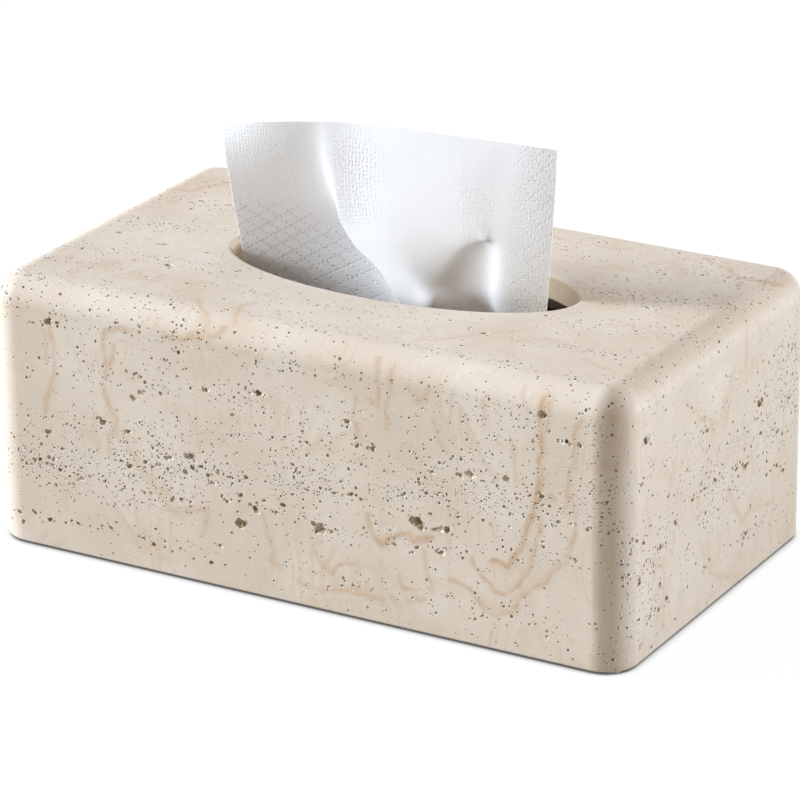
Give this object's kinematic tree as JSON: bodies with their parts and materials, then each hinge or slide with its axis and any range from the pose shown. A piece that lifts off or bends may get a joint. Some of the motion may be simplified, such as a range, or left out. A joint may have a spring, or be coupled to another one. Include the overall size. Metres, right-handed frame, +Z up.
{
  "type": "stone tissue box cover",
  "caption": "Rounded oblong stone tissue box cover, bottomless, on small pads, with an oval slot; it lifts off a slit-film carton whose interfolded tissue pulls up through the slot.",
  "frame": {"origin": "centre of the base, on the surface that the cover and its carton stand on", "axes": "+X along the long side, to the right seen from the front; +Y towards the back; +Z up through the slot"},
  "size_m": [0.256, 0.148, 0.1555],
  "materials": {
    "stone": "honed travertine look: warm cream with brown drifts, pin-holes and rows of open pits",
    "pad": "soft translucent bumper",
    "card": null,
    "film": "thin clear film",
    "tissue": "soft embossed tissue paper"
  },
  "bodies": {
    "carton": {"carton_sleeve": "card", "carton_end_left": "card", "carton_end_right": "card", "window_film": "film", "tissue_stack": "tissue", "next_tissue": "tissue"},
    "cover": {"cover_shell": "stone", "pad_front_left": "pad", "pad_front_right": "pad", "pad_back_left": "pad", "pad_back_right": "pad"},
    "tissue": {"popup_tissue": "tissue"}
  },
  "joints": [
    {"name": "cover_lift", "type": "slide", "parent": "carton", "child": "cover", "axis": [0, 0, 1], "range_m": [0, 0.165]},
    {"name": "tissue_pull", "type": "slide", "parent": "carton", "child": "tissue", "axis": [0, 0, 1], "range_m": [0, 0.108]}
  ]
}
